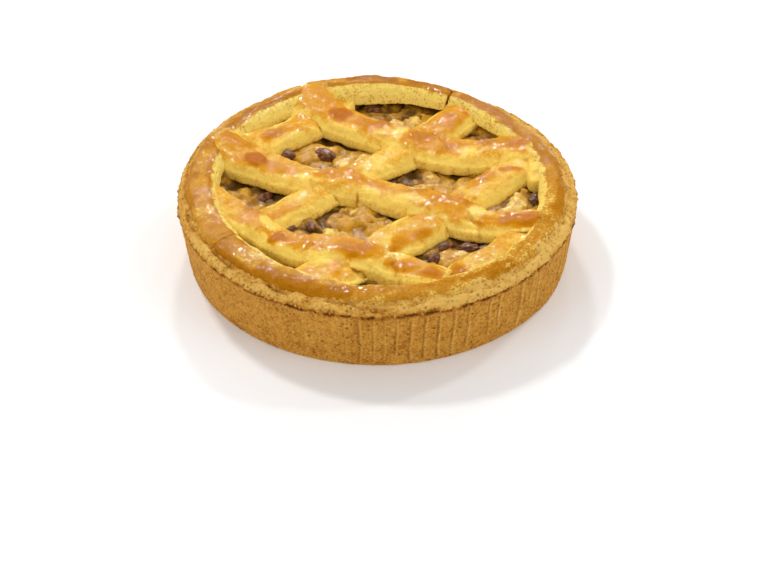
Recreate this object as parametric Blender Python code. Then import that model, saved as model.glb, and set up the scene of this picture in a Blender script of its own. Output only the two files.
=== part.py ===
"""Lattice apple pie: a deep shortcrust shell, an apple filling, seven lattice strips and a border in four lengths.

Sizes are in millimetres and turn into metres where a mesh is made. The origin is at the middle of the pie's base,
+Z is up, and +X is azimuth 0. The pie is best seen from -Y, where its crust dips lowest.
"""

import math

import bmesh
import bpy
from mathutils import Vector

MM = 0.001
GAP = 0.35  # left between pieces that touch

# Shell: a cup of shortcrust, pressed into a round tin.
PIE_RADIUS = 120.0
BASE_RADIUS = 115.6
WALL_TOP = 39.6
BASE_BEVEL = 1.6
FLOOR_TOP = 7.0
SEAT_Z = 41.0  # the level inside the lip, where the border lies
LIP_TOP = {0: 44.0, 12: 42.6, 28: 41.4, 48: 41.6, 66: 44.6, 110: 46.2, 150: 46.4, 185: 45.0, 215: 44.2, 270: 43.8,
           330: 44.2}  # millimetres by azimuth: the lip sags at the back right
LIP_FALL = 2.2  # the least drop from the lip's top to where the wall begins
LIP_INNER = 113.0
INNER_TOP_RADIUS = 110.0
INNER_BASE_RADIUS = 107.5
SHELL_STEPS = 72

# Filling: level, with a slow swell where apple pieces lie under its skin.
FILLING_LEVEL = 40.3
SWELL = 0.9
FILLING_RINGS = 7

# Border: one roll of dough in four lengths, pressed on the lip. Azimuths are in degrees.
BORDER_POWER = 2.6
BORDER_RADIUS = {0: 105.3, 40: 102.2, 63: 104.2, 90: 104.8, 120: 105.0, 180: 103.8, 215: 103.6, 245: 105.5,
                 270: 106.8, 315: 106.8}
BORDER_HALF_WIDTH = {0: 7.2, 63: 7.0, 90: 7.6, 130: 7.6, 180: 7.6, 215: 7.4, 245: 6.2, 270: 5.2, 315: 5.6}
BORDER_CREST = {0: 50.2, 40: 49.2, 63: 51.2, 90: 53.2, 135: 52.0, 180: 50.6, 215: 50.0, 270: 48.2, 315: 47.8}
BORDER_LENGTHS = {"border_back": (63, 115), "border_left": (115, 214), "border_front": (214, 336),
                  "border_right": (336, 423)}
BORDER_STEP = 5.0  # degrees between sections
SEAM = 0.9  # millimetres between two lengths

# Lattice: (x, y, half width) along each strip, from the border to the border.
STRIP_POWER = 2.5
STRIP_STEP = 7.0
UNDER_PATHS = {
    "under_left": [(-86, 33, 10.5), (-62, 53, 10.5), (-45, 66, 10.5), (-30, 80, 8.0), (-20, 93, 5.0)],
    "under_centre": [(62, 88, 12.5), (45, 69, 13.0), (12, 32, 11.0), (-20, 7, 11.0), (-55, -26, 11.5),
                     (-74, -40, 10.0)],
    "under_right": [(102, 36, 10.5), (66, -2, 10.5), (35, -32, 13.0), (12, -53, 13.5), (-22, -80, 14.0),
                    (-52, -103, 14.0)],
    "under_corner": [(98, -36, 9.5), (70, -67, 9.5), (44, -87, 9.0), (29, -92, 7.0)],
}
OVER_PATHS = {
    "over_back": [(-66, 99, 13.0), (-40, 81, 13.0), (0, 56, 12.5), (20, 46, 14.5), (38, 36, 12.5), (54, 33, 13.5),
                  (82, 34, 14.0), (104, 34, 13.0)],
    "over_middle": [(-106, 46, 14.0), (-70, 21, 13.5), (-38, 4, 11.5), (-20, 1, 13.5), (-6, -5, 10.0),
                    (12, -12, 11.0), (48, -31, 14.5), (62, -40, 10.5), (78, -41, 10.5), (104, -37, 10.0)],
    "over_front": [(-104, -6, 10.0), (-75, -38, 9.5), (-49, -61, 10.0), (-30, -64, 13.0), (-8, -70, 12.5),
                   (5, -78, 9.0), (20, -84, 9.5), (36, -92, 8.0)],
}
TAIL_PATH = [(90, 34, 5.0), (95.5, 22, 5.5), (97, 10, 5.0), (96, 1, 3.5)]  # the torn end of the back strip
TAIL_CREST = 46.6
UNDER_CREST = 46.0
UNDER_PRESSED = 43.9  # the crest of an under strip where another crosses it
OVER_CREST = 47.4
OVER_RISE = 1.5  # how much an over strip rises at a crossing
PRESS_REACH = 16.0

GOLD = (0.76, 0.43, 0.09)
PALE_GOLD = (0.79, 0.49, 0.12)
RIM_BROWN = (0.66, 0.33, 0.07)
WALL_BROWN = (0.47, 0.23, 0.06)
APPLE_BROWN = (0.52, 0.27, 0.06)


def between(low, high, share):
    """Eases from low to high as share goes from 0 to 1."""
    t = min(max(share, 0.0), 1.0)
    return low + (high - low) * t * t * (3 - 2 * t)


def around(stops, azimuth):
    """A value eased between the stops of a table of azimuths, which closes on itself."""
    angles = sorted(stops)
    azimuth %= 360
    for here, there in zip(angles, angles[1:] + [angles[0] + 360]):
        if here <= azimuth <= there:
            return between(stops[here], stops[there % 360], (azimuth - here) / (there - here))
    return stops[angles[0]]


def filling_top(x, y):
    """Height of the filling at a point of the plan."""
    return FILLING_LEVEL + SWELL * math.sin(x / 9.5 + 0.8) * math.cos(y / 10.5 - 0.5)


def smooth_path(controls, step):
    """Points a step apart on a curve through the controls, each with its direction and half width."""
    ends = [tuple(2 * a - b for a, b in zip(controls[0], controls[1])),
            tuple(2 * a - b for a, b in zip(controls[-1], controls[-2]))]
    knots = [Vector(p) for p in [ends[0], *controls, ends[1]]]
    fine = []
    for a, b, c, d in zip(knots, knots[1:], knots[2:], knots[3:]):
        pieces = max(2, round((c - b).length / step))
        for i in range(pieces):
            t = i / pieces
            fine.append(0.5 * (2 * b + (c - a) * t + (2 * a - 5 * b + 4 * c - d) * t * t
                               + (3 * b - a - 3 * c + d) * t ** 3))
    fine.append(knots[-2])
    stations = []
    for i, here in enumerate(fine):
        along = fine[min(i + 1, len(fine) - 1)] - fine[max(i - 1, 0)]
        stations.append((here.xy, along.xy.normalized(), here.z))
    return stations


def distance_to(paths, point):
    """Plan distance from a point to the nearest strip's middle line."""
    nearest = math.inf
    for controls in paths.values():
        for (ax, ay, _), (bx, by, _) in zip(controls, controls[1:]):
            start, run = Vector((ax, ay)), Vector((bx - ax, by - ay))
            share = min(max((point - start).dot(run) / run.length_squared, 0.0), 1.0)
            nearest = min(nearest, (point - start - run * share).length)
    return nearest


def under_crest(point):
    return between(UNDER_PRESSED, UNDER_CREST, distance_to(OVER_PATHS, point) / PRESS_REACH - 0.35)


def over_crest(point):
    return OVER_CREST + OVER_RISE * math.exp(-((distance_to(UNDER_PATHS, point) / PRESS_REACH) ** 2))


def dome(power, count):
    """(across, height) shares of a rounded section, from its left foot over its crest to its right foot."""
    shares = []
    for i in range(count):
        turn = math.pi * (1 - i / (count - 1))
        across, height = math.cos(turn), math.sin(turn)
        shares.append((math.copysign(abs(across) ** (2 / power), across), max(height, 0.0) ** (2 / power)))
    return shares


def closed_mesh(name, rings, loops_back=False):
    """A closed skin over rings of points. The ends are capped unless the last ring joins the first."""
    shape = bmesh.new()
    rows = [[shape.verts.new(Vector(p) * MM) for p in ring] for ring in rings]
    pairs = list(zip(rows, rows[1:] + rows[:1])) if loops_back else list(zip(rows, rows[1:]))
    for row, following in pairs:
        for i, corner in enumerate(row):
            j = (i + 1) % len(row)
            shape.faces.new((corner, row[j], following[j], following[i]))
    if not loops_back:
        shape.faces.new(rows[0])
        shape.faces.new(rows[-1])
    bmesh.ops.recalc_face_normals(shape, faces=shape.faces[:])
    mesh = bpy.data.meshes.new(name)
    shape.to_mesh(mesh)
    shape.free()
    return mesh


def material(name, colour, roughness):
    made = bpy.data.materials.new(name)
    made.use_nodes = True
    shader = made.node_tree.nodes["Principled BSDF"]
    shader.inputs["Base Color"].default_value = (*colour, 1.0)
    shader.inputs["Roughness"].default_value = roughness
    shader.inputs["Metallic"].default_value = 0.0
    return made


def add(name, mesh, finish=None):
    """Puts a named object in the scene, smooth apart from its sharp edges."""
    piece = bpy.data.objects.new(name, mesh)
    bpy.context.scene.collection.objects.link(piece)
    mesh.shade_smooth()
    mesh.set_sharp_from_angle(angle=math.radians(50))
    if finish:
        mesh.materials.append(finish)
    return piece


def add_cutter(name, mesh):
    cutter = add(name, mesh)
    cutter.hide_render = True
    cutter.display_type = "WIRE"
    return cutter


def cut(piece, cutters):
    for cutter in cutters:
        boolean = piece.modifiers.new("cut_by_" + cutter.name, "BOOLEAN")
        boolean.operation = "DIFFERENCE"
        boolean.solver = "EXACT"
        boolean.object = cutter


def strip_mesh(name, controls, crest, grow=0.0, sink=0.0):
    """A strip along its path. For a cutter, grow widens and raises it, and sink lowers its flat side."""
    rings = []
    for point, along, half_width in smooth_path(controls, STRIP_STEP):
        left = Vector((-along.y, along.x))
        reach = half_width + grow
        ring = []
        for across, height in dome(STRIP_POWER, 9):
            spot = point - left * across * reach
            foot = filling_top(*spot) + GAP
            ring.append((*spot, foot + (crest(point) + grow - foot) * height))
        for across in (1.0, 0.5, 0.0, -0.5, -1.0) if sink else (0.5, 0.0, -0.5):
            spot = point - left * across * reach
            ring.append((*spot, filling_top(*spot) + GAP - sink))
        rings.append(ring)
    return closed_mesh(name, rings)


def border_frame(azimuth):
    """Middle radius, half width and crest height of the border at an azimuth."""
    return around(BORDER_RADIUS, azimuth), around(BORDER_HALF_WIDTH, azimuth), around(BORDER_CREST, azimuth)


def border_mesh(name, start, stop):
    """One length of border, with its two ends eased down."""
    seam = math.degrees(SEAM / 2 / BORDER_RADIUS[90])
    first, last = start + seam, stop - seam
    count = round((last - first) / BORDER_STEP)
    azimuths = [first, first + 1.2, *(first + (last - first) * i / count for i in range(1, count)), last - 1.2, last]
    rings = []
    for azimuth in azimuths:
        radius, half_width, crest = border_frame(azimuth)
        if azimuth in (first, last):
            half_width -= 0.8
            crest -= 1.0
        turn = math.radians(azimuth)
        foot = SEAT_Z + GAP
        ring = []
        for across, height in [*dome(BORDER_POWER, 9), (0.5, 0.0), (-0.5, 0.0)]:
            r = radius + across * half_width
            ring.append((r * math.cos(turn), r * math.sin(turn), foot + (crest - foot) * height))
        rings.append(ring)
    return closed_mesh(name, rings)


def trim_ring_mesh():
    """All that lies under, over and outside the border's inner face. It cuts the strips to length."""
    rings = []
    for i in range(SHELL_STEPS):
        azimuth = 360 * i / SHELL_STEPS
        radius, half_width, crest = border_frame(azimuth)
        foot = SEAT_Z + GAP
        inner = [(radius + across * (half_width + GAP), foot + (crest + GAP - foot) * height)
                 for across, height in dome(BORDER_POWER, 9)[:5]]
        far, above, below = PIE_RADIUS + 10, crest + 10, foot - 10
        section = [(inner[0][0], below), *inner, (radius, above), (far, above), (far, below)]
        turn = math.radians(azimuth)
        rings.append([(r * math.cos(turn), r * math.sin(turn), z) for r, z in section])
    return closed_mesh("trim_ring", rings, loops_back=True)


def level_ring(radius, height):
    """A circle of points. Its height may be a number, or a function of the azimuth in degrees."""
    ring = []
    for i in range(SHELL_STEPS):
        azimuth = 360 * i / SHELL_STEPS
        turn = math.radians(azimuth)
        ring.append((radius * math.cos(turn), radius * math.sin(turn), height(azimuth) if callable(height) else height))
    return ring


def shell_mesh():
    """The cup: base, tapered wall, rounded lip, the seat inside it, and the inner wall and floor."""
    def lip(drop):
        return lambda azimuth: around(LIP_TOP, azimuth) - drop

    def wall_top(rise):
        return lambda azimuth: min(WALL_TOP + rise, around(LIP_TOP, azimuth) - LIP_FALL + rise)

    middle = (PIE_RADIUS + LIP_INNER) / 2
    return closed_mesh("crust_shell", [
        level_ring(BASE_RADIUS - BASE_BEVEL, 0), level_ring(BASE_RADIUS, BASE_BEVEL),
        level_ring(PIE_RADIUS, wall_top(0)), level_ring(PIE_RADIUS - 0.5, wall_top(1.2)),
        level_ring(PIE_RADIUS - 1.9, lip(0.5)), level_ring(middle, lip(0)), level_ring(LIP_INNER + 1.1, lip(0.2)),
        level_ring(LIP_INNER, SEAT_Z), level_ring(INNER_TOP_RADIUS, SEAT_Z), level_ring(INNER_BASE_RADIUS, FLOOR_TOP)])


def filling_mesh():
    """The filling, to the wall on all sides and down to the floor, with its swelling top."""
    edge = INNER_TOP_RADIUS - GAP
    rings = [level_ring(INNER_BASE_RADIUS - GAP, FLOOR_TOP + GAP)]
    for ring in range(FILLING_RINGS, 0, -1):
        flat = level_ring(edge * ring / FILLING_RINGS, 0)
        rings.append([(x, y, filling_top(x, y)) for x, y, _ in flat])
    return closed_mesh("apple_filling", rings)


def main():
    for old in list(bpy.data.objects):
        bpy.data.objects.remove(old)

    add("crust_shell", shell_mesh(), material("baked_wall", WALL_BROWN, 0.75))
    add("apple_filling", filling_mesh(), material("apple_filling", APPLE_BROWN, 0.35))

    border = material("glazed_border", RIM_BROWN, 0.4)
    for name, (start, stop) in BORDER_LENGTHS.items():
        add(name, border_mesh(name, start, stop), border)

    trim = add_cutter("trim_ring", trim_ring_mesh())
    under = material("lattice_under", PALE_GOLD, 0.45)
    saddles = []
    for name, controls in UNDER_PATHS.items():
        cut(add(name, strip_mesh(name, controls, under_crest), under), [trim])
        saddles.append(add_cutter("saddle_" + name, strip_mesh("saddle_" + name, controls, under_crest, GAP, 4.0)))

    tail = add_cutter("torn_end", strip_mesh("torn_end", TAIL_PATH, lambda point: TAIL_CREST))
    over = material("lattice_over", GOLD, 0.4)
    for name, controls in OVER_PATHS.items():
        strip = add(name, strip_mesh(name, controls, over_crest), over)
        if name == "over_back":
            join = strip.modifiers.new("torn_end", "BOOLEAN")
            join.operation = "UNION"
            join.solver = "EXACT"
            join.object = tail
        cut(strip, [*saddles, trim])


main()
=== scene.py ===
"""A lattice apple pie: shortcrust shell, apple and raisin filling, woven dough strips and a rolled border.

Lengths in this file are millimetres, on arrays called p, and become metres where a mesh is made.
Azimuths are degrees about +Z, from +X. Every random choice comes from a fixed seed.
"""

import math

import bmesh
import bpy
import numpy as np
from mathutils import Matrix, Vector
from mathutils.kdtree import KDTree


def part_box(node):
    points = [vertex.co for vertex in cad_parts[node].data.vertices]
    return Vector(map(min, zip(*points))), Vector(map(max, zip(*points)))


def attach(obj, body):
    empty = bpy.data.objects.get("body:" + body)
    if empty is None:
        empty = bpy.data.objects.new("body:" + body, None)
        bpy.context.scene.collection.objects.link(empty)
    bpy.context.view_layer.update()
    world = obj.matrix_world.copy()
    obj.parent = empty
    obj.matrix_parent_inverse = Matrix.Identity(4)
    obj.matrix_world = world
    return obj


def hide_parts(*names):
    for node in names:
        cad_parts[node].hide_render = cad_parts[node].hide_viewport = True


MM = 0.001

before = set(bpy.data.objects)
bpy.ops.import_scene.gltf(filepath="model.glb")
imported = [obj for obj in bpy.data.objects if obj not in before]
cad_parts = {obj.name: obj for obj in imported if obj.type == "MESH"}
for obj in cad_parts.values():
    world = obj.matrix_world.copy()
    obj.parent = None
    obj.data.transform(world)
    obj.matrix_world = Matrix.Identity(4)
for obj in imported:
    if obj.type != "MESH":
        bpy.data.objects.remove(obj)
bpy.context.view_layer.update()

shell_high = np.array(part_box("crust_shell")[1]) / MM
filling_low, filling_high = (np.array(corner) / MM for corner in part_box("apple_filling"))

# Shell sizes. The outer ones come from the CAD box.
PIE_RADIUS = shell_high[0]
WALL_LEAN = 4.4  # how far the wall leans out from its foot to its top
BASE_RADIUS = PIE_RADIUS - WALL_LEAN
BASE_BEVEL = 1.6
WALL_TOP = 39.6
LIP_INNER = 113.0
INNER_LEAN = 5.5
SEAT_Z = 41.0
FLOOR_Z = 7.0
SHELL_TURNS = 1100
WALL_ROWS = 54
LIP_ROWS = 22
RIB_SPACING = 7.9

# What changes round the shell, by azimuth: heights, how creased, torn and split it is, and how brown.
LIP_TOP = {0: 44.0, 12: 42.6, 28: 41.4, 48: 41.6, 66: 44.6, 110: 46.2, 150: 46.4, 185: 45.0, 215: 44.2,
           270: 43.8, 330: 44.2}
LEDGE_RISE = {0: 3.0, 40: 3.5, 66: 3.0, 90: 4.0, 135: 3.0, 180: 2.2, 215: 1.6, 245: 1.8, 270: 2.6,
              315: 3.0}
CREASED = {0: 1.0, 20: 0.5, 60: 0.3, 180: 0.3, 215: 0.1, 245: 0.25, 270: 0.8, 285: 1.0, 330: 1.0}
TORN = {0: 1.0, 60: 0.7, 150: 0.7, 215: 1.0, 300: 1.0}
SPLIT = {0: 0.4, 40: 0.2, 90: 0.2, 190: 0.5, 218: 1.2, 250: 1.2, 275: 0.8, 300: 0.5, 340: 0.5}
LEDGE_BAKE = {0: -0.06, 40: -0.06, 66: 0.02, 90: 0.05, 140: 0.06, 185: 0.04, 215: -0.05, 270: 0.0,
              300: -0.16, 330: -0.16}
RIM_BAKE = {0: 0.8, 60: 0.5, 180: 0.7, 262: 1.0, 330: 1.0}
STREWN = {0: 1.0, 60: 0.4, 200: 0.6, 270: 0.8}

# What changes round the border, by azimuth: how dry and baked, and how far its foot spreads in and out.
BORDER_DRY = {0: 0.35, 40: 0.3, 90: 0.3, 180: 0.15, 215: 0.1, 262: 0.25, 285: 0.6, 300: 0.9, 340: 0.8}
BORDER_BAKE = {0: 0.42, 40: 0.44, 66: 0.5, 90: 0.42, 112: 0.46, 130: 0.45, 180: 0.42, 215: 0.42,
               260: 0.42, 300: 0.34, 340: 0.4}
SPREAD_IN = {0: 1.5, 45: 2.5, 90: 4.0, 140: 3.0, 180: 2.0, 230: 2.0, 270: 1.0, 330: 1.0}
SPREAD_OUT = {0: 0.0, 60: 0.5, 130: 2.5, 180: 3.5, 215: 3.0, 245: 2.0, 285: 1.5, 330: 1.0}
OPEN_SEAMS = (66, 226)

# Dough pieces: each visible skin, and the CAD node it stands for.
STRIPS = {"strip_back": "over_back", "strip_middle": "over_middle", "strip_front": "over_front",
          "strip_under_left": "under_left", "strip_under_centre": "under_centre",
          "strip_under_right": "under_right", "strip_under_corner": "under_corner"}
ROLLS = {"roll_back": "border_back", "roll_left": "border_left", "roll_front": "border_front",
         "roll_right": "border_right"}
STRIP_VOXEL = 0.55
ROLL_VOXEL = 0.6
STRIP_SINK = 3.8  # how far a strip's foot goes down into the filling
OVER_BAKE = 0.36
UNDER_BAKE = 0.33
FILLING_LEVEL = 38.4
FILLING_GRID = 280
FILLING_LUMPS = ((19.0, 77, 2.6, 1.2), (8.5, 87, 0.8, 0.15))  # size, seed, height, depth between them

# Dough colours, linear: pale, gold, brown and burnt; the burnt one is also the painted shade in holes,
# cracks and creases.
CRUST_COLOURS = ((0.82, 0.5, 0.12), (0.64, 0.305, 0.048), (0.4, 0.155, 0.018), (0.13, 0.04, 0.006))
LATTICE_COLOURS = ((0.9, 0.63, 0.125), (0.66, 0.27, 0.004), (0.53, 0.185, 0.0), (0.46, 0.13, 0.0))
BORDER_COLOURS = ((0.94, 0.7, 0.16), (0.56, 0.245, 0.02), (0.44, 0.165, 0.002), (0.33, 0.09, 0.001))

# How rough each skin is, in millimetres, and how the crumbs are strewn: so many a square metre.
SHELL_SKIN = {"Lump Height": 0.25, "Lump Size": 7.0, "Grain Height": 0.22, "Grain Size": 2.0,
              "Pit Depth": 0.7, "Pit Spacing": 2.6, "Seed": 2.0}
STRIP_SKIN = {"Lump Height": 0.22, "Lump Size": 4.5, "Grain Height": 0.5, "Grain Size": 1.6,
              "Pit Depth": 0.45, "Pit Spacing": 2.0}
ROLL_SKIN = {"Lump Height": 0.25, "Lump Size": 5.0, "Grain Height": 0.3, "Grain Size": 1.8,
             "Pit Depth": 0.45, "Pit Spacing": 2.2}
CRUMBS = {"Density": 60000.0, "Smallest": 0.6, "Largest": 1.9, "Sink": 0.05, "Seed": 4}

# Browned places on the lattice: x, y, half length, half width, direction in degrees, how far baked.
BROWN_PLACES = [
    (-24, 70, 6.5, 7.5, 0, 0.98), (-5, 61, 14, 6, -10, 0.62), (3, 60, 5, 4.5, 0, 0.8),
    (29, 46, 11, 9, 20, 0.66), (31, 48, 6, 4, 30, 0.76), (13, 50, 4, 5, 0, 0.42),
    (45, 33, 10, 4, 20, 0.58), (68, 38, 8, 4, 15, 0.66), (85, 35, 12, 8, 0, 0.64),
    (90, 35, 5, 5, 0, 0.76), (-83, 38, 11, 6, -38, 0.57), (-74, 20, 7, 7, 0, 0.98),
    (-62, 14, 9, 4, -38, 0.52), (-25, 6, 14, 6, 20, 0.54), (-11, -3, 5, 4, 0, 0.52),
    (0, -6, 4, 3, 0, 0.5), (40, -23, 14, 6, -12, 0.53), (52, -26, 4, 6, 20, 0.66),
    (25, -14, 7, 2.6, -10, 0.6), (76, -42, 7, 5, 20, 0.8), (88, -43, 8, 6, 10, 0.86),
    (62, -44, 5, 4, 0, 0.48), (-73, -34, 9, 4, -45, 0.62), (-58, -60, 8, 5, -42, 0.88),
    (-45, -63, 8, 5, 0, 0.48), (-12, -70, 15, 8, -15, 0.6), (-13, -73, 7, 3.5, 0, 0.74),
    (12, -85, 10, 4, -8, 0.6), (29, -94, 6, 5, -30, 0.82), (-65, 51, 10, 5.5, 42, 0.76),
    (47, 67, 11, 10, 50, 0.56), (55, 74, 7, 2.2, -35, 0.66), (0, 19, 14, 7, 40, 0.22),
    (-55, -31, 10, 5, 38, 0.42), (15, 52, 4, 9, -30, 0.15), (-42, -1, 8, 4, -30, 0.12),
    (-4, -13, 5, 7, 30, 0.14), (58, -35, 7, 6, -20, 0.15), (-33, -75, 8, 5, -20, 0.15),
    (10, -74, 7, 5, -10, 0.15), (-30, 60, 8, 6, -20, 0.2), (56, 28, 7, 7, 0, 0.18),
    (16, -20, 14, 4, -15, 0.2), (-62, -45, 8, 4, -50, 0.15), (-82, 50, 8, 4, -40, 0.25),
    (-34, -91, 9, 5, 10, 0.25), (30, 24, 8, 5, 40, 0.2), (6, -62, 7, 4, 40, 0.2),
    (63, 3, 11, 6, 45, 0.57), (80, 12, 7, 2.4, 10, 0.72), (25, -54, 7, 4.5, 40, 0.64),
    (12, -62, 8, 5, 40, 0.57), (-34, -90, 9, 5, 10, 0.36), (44, -87, 7, 6, 35, 0.78),
]
# Browned streaks on the border: azimuth from and to, radius there and there, half width, how far baked.
BROWN_STREAKS = [
    (58, 108, 101.5, 101.5, 2.0, 0.7), (92, 99, 107, 107, 3, 0.86), (84, 89, 106, 107, 3, 0.84),
    (62, 78, 108, 108, 3, 0.8), (116, 150, 102, 106, 2.4, 0.76), (40, 57, 104, 107, 4.5, 0.68),
    (28, 36, 99, 100, 4, 0.66), (8, 24, 104, 103, 4, 0.62), (342, 368, 110, 109, 2.5, 0.68),
    (160, 200, 110.5, 110.5, 2, 0.68), (162, 200, 97.5, 98, 3.2, 0.76), (208, 222, 99, 101, 3, 0.62),
    (216, 262, 111, 108, 2.6, 0.76), (262, 292, 107, 107, 3, 0.55), (296, 312, 108, 109, 2.2, 0.62),
    (318, 340, 106, 108, 3, 0.45),
]
# Strip ends pressed over the border: azimuth, half width in degrees, how far out, how far up.
DRAPED_ENDS = [(113, 9, 9.0, 5.0), (155, 8, 6.0, 4.0)]
# Cracks and creases in the dough: from x, y to x, y, width, depth.
CREASES = [
    (-12, -12, -11, -30, 0.9, 2.4), (38, 46, 44, 34, 1.5, 1.6), (17, 58, 21, 42, 1.5, 1.0),
    (-67, 27, -69, 17, 1.2, 1.2), (-40, -2, -36, -14, 1.4, 1.2), (52, -38, 60, -50, 1.2, 1.6),
    (14, -92, 8, -78, 1.2, 1.6), (60, 26, 66, 36, 1.2, 1.0), (-88, 30, -80, 18, 1.2, 1.0),
    (-44, -78, -38, -66, 1.2, 1.0),
]

# Apple pieces between the strips: x, y, half length, half width, direction, height, paleness.
APPLE_PIECES = [
    (-20, 30, 7, 5, 10, 2.2, 0.95), (-8, 33, 6, 4.5, 60, 2.0, 0.9), (-36, 18, 7, 3.5, 100, 2.4, 0.97),
    (-42, 36, 8, 5, 30, 1.6, 0.62), (-30, 42, 7, 4, 0, 1.8, 0.75), (-48, 25, 5, 3, 120, 1.5, 0.5),
    (-24, 20, 6, 3.5, 40, 1.6, 0.7), (-80, 0, 8, 4.5, 80, 1.5, 0.5), (-84, -14, 7, 4, 30, 1.8, 0.62),
    (-72, -20, 7, 4, 150, 1.9, 0.7), (-76, -8, 4, 3, 0, 1.2, 0.4), (-14, -32, 10, 5.5, 20, 2.6, 0.68),
    (-2, -38, 6, 5, 100, 2.2, 0.72), (-28, -44, 7, 4.5, 80, 2.2, 0.92),
    (-40, -45, 6, 4, 10, 1.6, 0.45), (-20, -46, 7, 4, 160, 2.4, 0.75), (6, -36, 6, 3.5, 30, 2.0, 0.8),
    (14, -2, 9, 5, 0, 2.2, 0.8), (28, 2, 8, 4, 20, 2.0, 0.85), (40, -4, 9, 7, 70, 2.6, 0.66),
    (52, 4, 6, 4, 0, 1.8, 0.75), (84, -16, 13, 6, 60, 2.4, 0.93), (76, -24, 8, 4.5, 20, 2.0, 0.85),
    (88, -2, 5, 3, 80, 1.4, 0.6), (28, -78, 8, 5, 20, 2.0, 0.7), (44, -72, 8, 4.5, 10, 2.0, 0.72),
    (56, -66, 8, 4.5, 30, 2.0, 0.78), (20, -74, 6, 4, 60, 1.8, 0.62), (24, 78, 5, 3.5, 90, 2.2, 0.97),
    (12, 73, 6, 4, 60, 2.2, 0.95), (18, 68, 7, 4, 20, 1.8, 0.9), (34, 74, 5, 3, 110, 1.6, 0.75),
    (-6, 77, 5, 3.5, 20, 1.6, 0.45), (60, 50, 5, 3, 80, 1.4, 0.6), (0, 68, 6, 4, 0, 1.4, 0.5),
    (-20, -97, 7, 3, 0, 1.5, 0.6), (10, -99, 8, 3, 0, 1.5, 0.7),
]
# Hollows in the filling, close under the strips, with painted shade in them: x, y, reach.
SHADED_HOLLOWS = [
    (-32, 60, 6), (-62, 2, 8), (-20, 55, 5), (8, 12, 6), (13, -22, 8), (2, -18, 5), (-53, -46, 7),
    (-37, -40, 5), (-20, 90, 7), (20, 88, 5), (68, 40, 6), (46, -47, 8), (62, -47, 8), (90, 12, 6),
    (22, 22, 5), (-84, 10, 6), (-28, -92, 4), (12, -96, 4), (48, 20, 5), (-70, 60, 4),
]
# Raisins: x, y, half length, direction, how far it stands up.
RAISINS = [
    (-56, 41, 6.0, -30, 0.5), (-32, 38, 6.8, -25, 0.9), (-2, 92, 5.0, 10, 0.2),
    (-68, -1, 5.5, 40, 0.0), (-51, -38, 5.5, 60, 0.4), (-39, -34, 4.6, 100, 0.0),
    (8, 14, 5.0, 20, 0.2), (94, -9, 4.8, 80, 0.5), (39, -54, 5.4, 30, 0.3), (52, -55, 6.4, 5, 0.6),
    (63, -57, 5.4, 170, 0.5), (32, -65, 5.0, 45, 0.6), (71, -52, 4.6, 20, 0.2), (66, 42, 4.6, 30, 0.2),
]


# ---------------------------------------------------------------- numbers over arrays

def eased(low, high, value):
    """0 below low, 1 above high, and smooth between."""
    t = np.clip((np.asarray(value, float) - low) / (high - low), 0, 1)
    return t * t * (3 - 2 * t)


def around(stops, azimuth):
    """Values eased between the stops of a table of azimuths, which closes on itself."""
    angles = np.array(sorted(stops), float)
    values = np.array([stops[int(a)] for a in angles], float)
    angles, values = np.append(angles, angles[0] + 360), np.append(values, values[0])
    azimuth = np.mod(np.asarray(azimuth, float) - angles[0], 360) + angles[0]
    i = np.clip(np.searchsorted(angles, azimuth, side="right") - 1, 0, len(angles) - 2)
    t = (azimuth - angles[i]) / (angles[i + 1] - angles[i])
    return values[i] + (values[i + 1] - values[i]) * t * t * (3 - 2 * t)


def polar(p):
    """The azimuth and radius of each point."""
    return np.degrees(np.arctan2(p[:, 1], p[:, 0])) % 360, np.hypot(p[:, 0], p[:, 1])


def cell_number(cell, seed):
    """A number from 0 to 1 for each whole-numbered cell."""
    n = cell[..., 0] * 73856093 ^ cell[..., 1] * 19349663 ^ cell[..., 2] * 83492791 ^ (seed * 40503 + 977)
    n = (n ^ (n >> 13)) * 1274126177 & 0x7FFFFFFF
    n = (n ^ (n >> 15)) * 668265263 & 0x7FFFFFFF
    return ((n ^ (n >> 12)) & 0xFFFFF) / 0xFFFFF


def mottle(p, size, seed, octaves=3):
    """Soft noise from about -1 to 1, with its largest lumps one size across."""
    total, reach, most = np.zeros(p.shape[:-1]), 1.0, 0.0
    for octave in range(octaves):
        q = p / size * 2 ** octave + 17.3 * octave
        cell = np.floor(q).astype(np.int64)
        t = q - cell
        t = t * t * t * (t * (t * 6 - 15) + 10)
        value = np.zeros(p.shape[:-1])
        for corner in np.ndindex(2, 2, 2):
            share = np.prod(np.where(np.array(corner) == 1, t, 1 - t), axis=-1)
            value += share * cell_number(cell + np.array(corner), seed + octave)
        total += reach * (2 * value - 1)
        most += reach
        reach *= 0.5
    return total / most * 1.6


def nearest_seeds(p, size, seed):
    """How far the nearest and next seeds are, in sizes, the nearest one's number, and the way from it."""
    q = p / size
    base = np.floor(q).astype(np.int64)
    first = np.full(p.shape[:-1], 9.0)
    second = first.copy()
    number = np.zeros(p.shape[:-1])
    away = np.zeros(p.shape)
    for step in np.ndindex(3, 3, 3):
        cell = base + np.array(step) - 1
        way = q - cell - np.stack([cell_number(cell, seed + k) for k in range(3)], axis=-1)
        far = np.linalg.norm(way, axis=-1)
        closer = far < first
        second = np.where(closer, first, np.minimum(second, far))
        number = np.where(closer, cell_number(cell, seed + 7), number)
        away = np.where(closer[..., None], way, away)
        first = np.where(closer, far, first)
    return first, second, number, away


def from_line(p, ax, ay, bx, by):
    """Plan distance to the line from a to b."""
    run = np.array([bx - ax, by - ay], float)
    start = p[..., :2] - np.array([ax, ay], float)
    share = np.clip((start @ run) / (run @ run), 0, 1)
    return np.linalg.norm(start - share[..., None] * run, axis=-1)


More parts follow.
